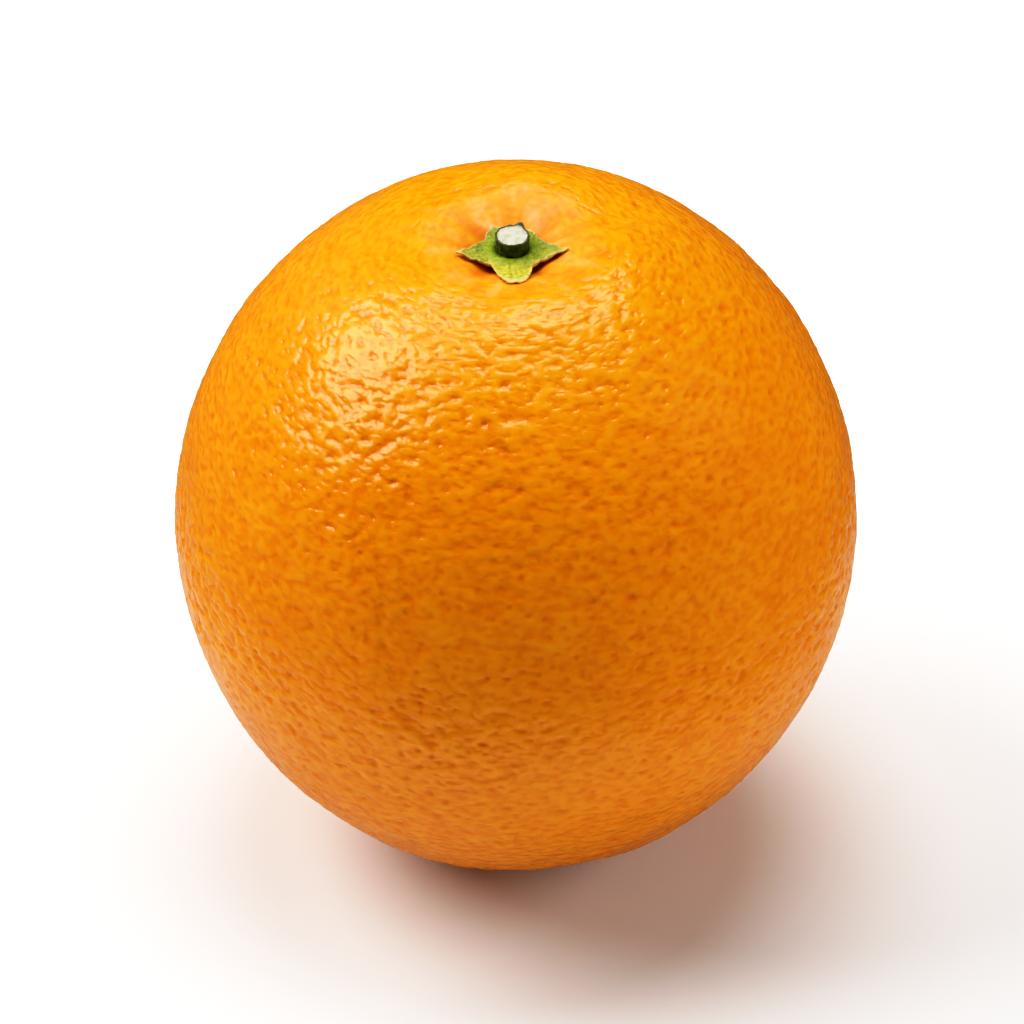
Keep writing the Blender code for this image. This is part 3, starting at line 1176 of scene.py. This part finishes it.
# %% [markdown]
# The noise is read at places on a circle, so it meets itself where the circle closes. Grooves and dents
# change the radius of the wall, and the ragged lip, the burr and the ends of the fibres change the height.

# %% Shape the stub
AROUND = 96
BURR_DIRECTION = math.radians(62)
BURR_WIDTH = 0.26
BURR_HEIGHT = 0.42 * MM
BURR_REACH = 0.18 * MM
GROOVES = 5.5
GROOVE_TWIST = 0.8
GROOVE_DEPTH = 0.07
DENTS = 1.6
DENT_DEPTH = 0.05
DENT_SEED = 3.0
TEETH = 3.2
TOOTH_HEIGHT = 0.16 * MM
TOOTH_SEED = (9.0, 4.0, 0)
FIBRE_END_SIZE = 0.35 * MM
FIBRE_END_HEIGHT = 0.07 * MM

stub_points = []
cut_share = []
lip_share = []
for radius_share, height_share, cut, lip in STUB_RINGS:
    for step in range(AROUND):
        angle = FULL_TURN * step / AROUND
        aim = Vector((math.cos(angle), math.sin(angle), 0.0))
        groove = noise.noise(aim * GROOVES + Vector((0, 0, height_share * GROOVE_TWIST)))
        dent = noise.noise(aim * DENTS + Vector((DENT_SEED, 0, height_share)))
        ragged = noise.noise(aim * TEETH + Vector(TOOTH_SEED))
        burr = math.exp(-(((angle - BURR_DIRECTION + math.pi) % FULL_TURN - math.pi) / BURR_WIDTH) ** 2)
        radius = stub_radius * radius_share * (1 + GROOVE_DEPTH * groove * (1 - cut) + DENT_DEPTH * dent)
        radius += BURR_REACH * burr * lip
        height = stub_foot + stub_span * height_share
        height += TOOTH_HEIGHT * ragged * lip + BURR_HEIGHT * burr * lip
        fibre = noise.noise(Vector((radius * aim.x, radius * aim.y, 0)) / FIBRE_END_SIZE)
        height += FIBRE_END_HEIGHT * fibre * cut
        stub_points.append((radius * aim.x, radius * aim.y, height))
        cut_share.append(cut)
        lip_share.append(lip)
print("stub:", len(stub_points), "points")

# %% [markdown]
# Strips of faces join the rings, and one flat face closes each end.

# %% Close the stub's skin
stub_faces = []
for ring in range(len(STUB_RINGS) - 1):
    for step in range(AROUND):
        here, beside = ring * AROUND + step, ring * AROUND + (step + 1) % AROUND
        stub_faces.append((here, beside, beside + AROUND, here + AROUND))
stub_faces.append(tuple(range(AROUND - 1, -1, -1)))
stub_faces.append(tuple(range((len(STUB_RINGS) - 1) * AROUND, len(STUB_RINGS) * AROUND)))
stub_mesh = make_mesh("cut_stem", stub_points, stub_faces)
store(stub_mesh, "cut", cut_share)
store(stub_mesh, "lip", lip_share)
stub = add_piece("cut_stem", stub_mesh)
print("stub:", len(stub_faces), "faces")

# %% [markdown]
# ## The stub's colour
#
# The bark is a very dark green, the lip is brown where it dried, and the cut wood is a pale grey cream with
# darker pores.

# %% Finish the stub
BARK = (0.030, 0.052, 0.014)
BARK_LIGHT = (0.110, 0.150, 0.045)
LIP = (0.085, 0.095, 0.035)
WOOD = (0.54, 0.53, 0.43)
WOOD_DARK = (0.33, 0.31, 0.21)
GRAIN_SIZE = 0.25 * MM
GRAIN_RELIEF = 0.06 * MM

stub_material, tree, shader = new_material("cut_stem")
place = object_place(tree)
streaky = use(tree, blotches, Place=place, Scale=1 / (0.8 * MM), Low=0.35, High=0.7)
pores = use(tree, specks, Place=place, Scale=1 / (0.34 * MM), Size=0.4, Sparse=0.4)
wood = paint(tree, WOOD, (
    (weaken(tree, streaky, 0.6), WOOD_DARK),
    (weaken(tree, pores, 0.5), WOOD_DARK),
))
colour = paint(tree, BARK, (
    (streaky, BARK_LIGHT),
    (attribute(tree, "lip"), LIP),
    (between(tree, attribute(tree, "cut"), 0.3, 0.8), wood),
))
tree.links.new(colour, shader.inputs["Base Color"])
fibres = use(tree, grain, Place=place, Scale=1 / GRAIN_SIZE, Folded=0.3)
tree.links.new(bump(tree, fibres, GRAIN_RELIEF), shader.inputs["Normal"])
tree.links.new(between(tree, attribute(tree, "cut"), 0.0, 1.0, 0.42, 0.75), shader.inputs["Roughness"])
stub_mesh.materials.append(stub_material)
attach(stub, "root")
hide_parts("stem_stub")
print("nodes in the stub's material:", len(tree.nodes))

# %% [markdown]
# ## The studio
#
# The orange stands on white paper. In a studio, a polarising filter would hold back the glare of all that
# white in the waxy skin, so that the orange stays saturated. Here the paper is made darker for reflections
# only, which does the same. Far from the fruit the lamps no longer reach the paper, so there it glows a
# little by itself, like the lit backdrop it would run into.

# %% Lay the floor
PAPER = (0.86, 0.86, 0.86)
NEAR_IN_GLOSS = (0.55, 0.52, 0.50)
FAR_IN_GLOSS = (0.04, 0.04, 0.04)
NO_GLOW = (0.0, 0.0, 0.0)
WHITE = (1.0, 1.0, 1.0)
GLOSS_NEAR = 55 * MM
GLOSS_FAR = 110 * MM
GLOW_START = 180 * MM
GLOW_FULL = 700 * MM
FLOOR_RADIUS = 3.0
bpy.ops.mesh.primitive_circle_add(vertices=96, radius=FLOOR_RADIUS, fill_type="NGON", location=(0, 0, 0))
floor = bpy.context.object
floor.name = "studio_floor"
floor_material, tree, shader = new_material("white_paper")
rays = add_node(tree, "ShaderNodeLightPath")
length = add_node(tree, "ShaderNodeVectorMath", operation="LENGTH")
tree.links.new(object_place(tree), length.inputs[0])
away = between(tree, length.outputs["Value"], GLOSS_NEAR, GLOSS_FAR)
in_gloss = blend(tree, away, NEAR_IN_GLOSS, FAR_IN_GLOSS)
paper = blend(tree, rays.outputs["Is Glossy Ray"], PAPER, in_gloss)
tree.links.new(paper, shader.inputs["Base Color"])
far_off = between(tree, length.outputs["Value"], GLOW_START, GLOW_FULL)
glow = calculate(tree, "MULTIPLY", far_off, rays.outputs["Is Camera Ray"])
tree.links.new(blend(tree, glow, NO_GLOW, WHITE), shader.inputs["Emission Color"])
shader.inputs["Emission Strength"].default_value = 1.3
shader.inputs["Roughness"].default_value = 0.8
shader.inputs["Specular IOR Level"].default_value = 0.2
floor.data.materials.append(floor_material)
print("floor:", 2 * FLOOR_RADIUS, "m across")

# %% [markdown]
# Five soft boxes light it. The key is high on the left and makes the one clear highlight. A wide one
# overhead lights the crown. A wide fill on the right, a weak one behind on the left and a faint card low in
# front keep the other sides from going flat. Those three are hidden from the gloss, so that they add no
# highlights. The lamps are placed by the way they are seen from the middle of the fruit.

# %% Hang the lamps
SOFT_BOXES = (
    # name, way from the fruit, distance and size in metres, power in watts, seen in the gloss or not
    ("key", (-0.697, 0.123, 0.708), 1.3, 0.98, 15.0, True),
    ("overhead", (0.06, 0.30, 0.957), 1.6, 1.15, 17.5, True),
    ("fill", (0.9, -0.1, 0.4), 2.0, 1.5, 20.0, False),
    ("back", (-0.6, 0.7, 0.4), 1.5, 1.0, 7.0, False),
    ("card", (0.1, -0.98, 0.17), 1.5, 1.0, 2.0, False),
)
for name, way, distance, size, watts, in_gloss in SOFT_BOXES:
    lamp = bpy.data.lights.new(name, "AREA")
    lamp.shape = "DISK"
    lamp.size = size
    lamp.energy = watts
    holder = bpy.data.objects.new(name, lamp)
    holder.location = Vector(middle) + Vector(way).normalized() * distance
    holder.rotation_euler = Vector(way).to_track_quat("Z", "Y").to_euler()
    holder.visible_glossy = in_gloss
    bpy.context.scene.collection.objects.link(holder)
print("lamps:", len(SOFT_BOXES), " power in all", sum(box[4] for box in SOFT_BOXES), "W")

# %% [markdown]
# The room adds a faint even light. It is darker still in the gloss, for the same reason as the paper, and
# where the camera sees past the floor it is plain white.

# %% Light the room
ROOM_LIGHT = 0.10
ROOM_IN_GLOSS = 0.03
WHITE_BEHIND = 1.2
world = bpy.data.worlds.new("studio")
bpy.context.scene.world = world
world.use_nodes = True
tree = world.node_tree
background = tree.nodes["Background"]
background.inputs["Color"].default_value = (*WHITE, 1.0)
rays = add_node(tree, "ShaderNodeLightPath")
less_in_gloss = weaken(tree, rays.outputs["Is Glossy Ray"], ROOM_IN_GLOSS - ROOM_LIGHT)
white_behind = weaken(tree, rays.outputs["Is Camera Ray"], WHITE_BEHIND)
strength = calculate(tree, "ADD", calculate(tree, "ADD", less_in_gloss, white_behind), ROOM_LIGHT)
tree.links.new(strength, background.inputs["Strength"])
print("room light:", ROOM_LIGHT, " in the gloss:", ROOM_IN_GLOSS)

# %% [markdown]
# ## Tone
#
# A straight rendering of light looks flat beside a print. A gentle curve with a firmer toe and a rolled-off
# shoulder gives the depth of one.

# %% Set the tone curve
TONE = ((0.03, 0.006), (0.15, 0.088), (0.45, 0.44), (0.8, 0.84))
TONE_END = (1.15, 1.02)
TONE_ROOM = 2.0
ALL_COLOURS = 3
view = bpy.context.scene.view_settings
view.view_transform = "Standard"
view.use_curve_mapping = True
tone = view.curve_mapping
tone.clip_max_x = TONE_ROOM
tone.clip_max_y = TONE_ROOM
curve = tone.curves[ALL_COLOURS]
for light, shown in TONE:
    curve.points.new(light, shown)
curve.points[-1].location = TONE_END
tone.update()
print("points on the tone curve:", len(curve.points))

# %% [markdown]
# ## The camera
#
# It looks down at the fruit from the front, from far enough away that the fruit isn't distorted. The lens
# follows from the width of the field that it has to cover at that distance.

# %% Place the camera
ELEVATION = math.radians(38.4)
DISTANCE = 1.0
FIELD = 117.6 * MM
camera = bpy.data.cameras.new("camera")
camera_holder = bpy.data.objects.new("camera", camera)
bpy.context.scene.collection.objects.link(camera_holder)
back = Vector((0, -math.cos(ELEVATION), math.sin(ELEVATION)))
camera_holder.location = Vector(middle) + back * DISTANCE
camera_holder.rotation_euler = back.to_track_quat("Z", "Y").to_euler()
camera.sensor_width = 36
camera.lens = camera.sensor_width * DISTANCE / FIELD
camera.clip_start = 0.05
camera.clip_end = 20
bpy.context.scene.camera = camera_holder
print("lens", round(camera.lens), "mm at", DISTANCE, "m")
